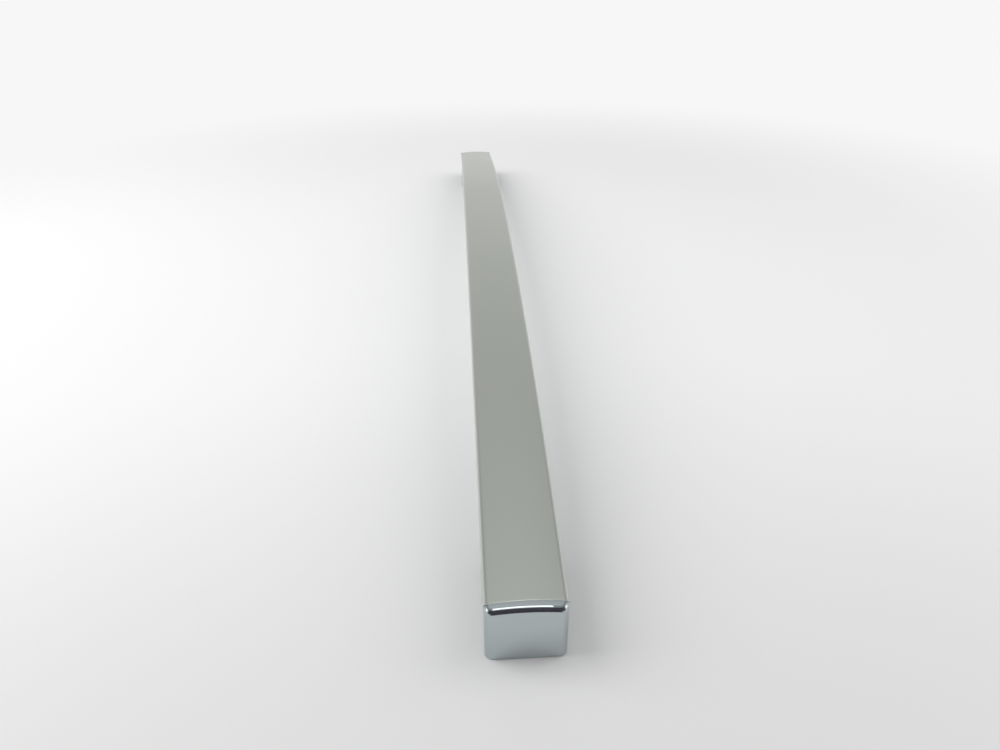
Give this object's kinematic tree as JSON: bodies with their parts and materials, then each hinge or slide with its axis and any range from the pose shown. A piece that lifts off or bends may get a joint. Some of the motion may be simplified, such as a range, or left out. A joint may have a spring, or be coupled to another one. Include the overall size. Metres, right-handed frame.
{
  "type": "refrigerator door handle",
  "caption": "Arched bar handle for a refrigerator door, brushed steel face with bright chrome ends, fixed on studs of the door.",
  "frame": {"origin": "on the door plane, midway between the two feet", "axes": "+Y along the handle to its upper foot, +X across the handle, +Z away from the door"},
  "size_m": [0.035, 0.74, 0.0599],
  "materials": {
    "brushed_face": "fine lengthwise brushing, satin",
    "bright_plating": "polished bright chrome plating on a moulding",
    "tape": "dark acrylic foam tape",
    "core_metal": "mill finish extrusion",
    "block_casting": "die-cast zinc, tumbled, dull grey",
    "black_screw": "black oxide steel",
    "zinc_screw": "zinc-plated steel",
    "pad_rubber": "thin matte sheet"
  },
  "bodies": {
    "handle": {"face_strip": "brushed_face", "face_tape": "tape", "core_bar": "core_metal", "rear_shell": "bright_plating", "upper_foot": "bright_plating", "upper_mount_block": "block_casting", "upper_block_screw_outer": "zinc_screw", "upper_block_screw_inner": "zinc_screw", "upper_foot_screw_left": "zinc_screw", "upper_foot_screw_right": "zinc_screw", "upper_foot_pad": "pad_rubber", "lower_foot": "bright_plating", "lower_mount_block": "block_casting", "lower_block_screw_outer": "zinc_screw", "lower_block_screw_inner": "zinc_screw", "lower_foot_screw_left": "zinc_screw", "lower_foot_screw_right": "zinc_screw", "lower_foot_pad": "pad_rubber"},
    "upper_set_screw": {"upper_set_screw": "black_screw"},
    "lower_set_screw": {"lower_set_screw": "black_screw"}
  },
  "joints": [
    {"name": "upper_set_screw_travel", "type": "slide", "parent": "handle", "child": "upper_set_screw", "axis": [-1, 0, 0], "range_m": [0, 0.0035]},
    {"name": "lower_set_screw_travel", "type": "slide", "parent": "handle", "child": "lower_set_screw", "axis": [-1, 0, 0], "range_m": [0, 0.0035]}
  ]
}
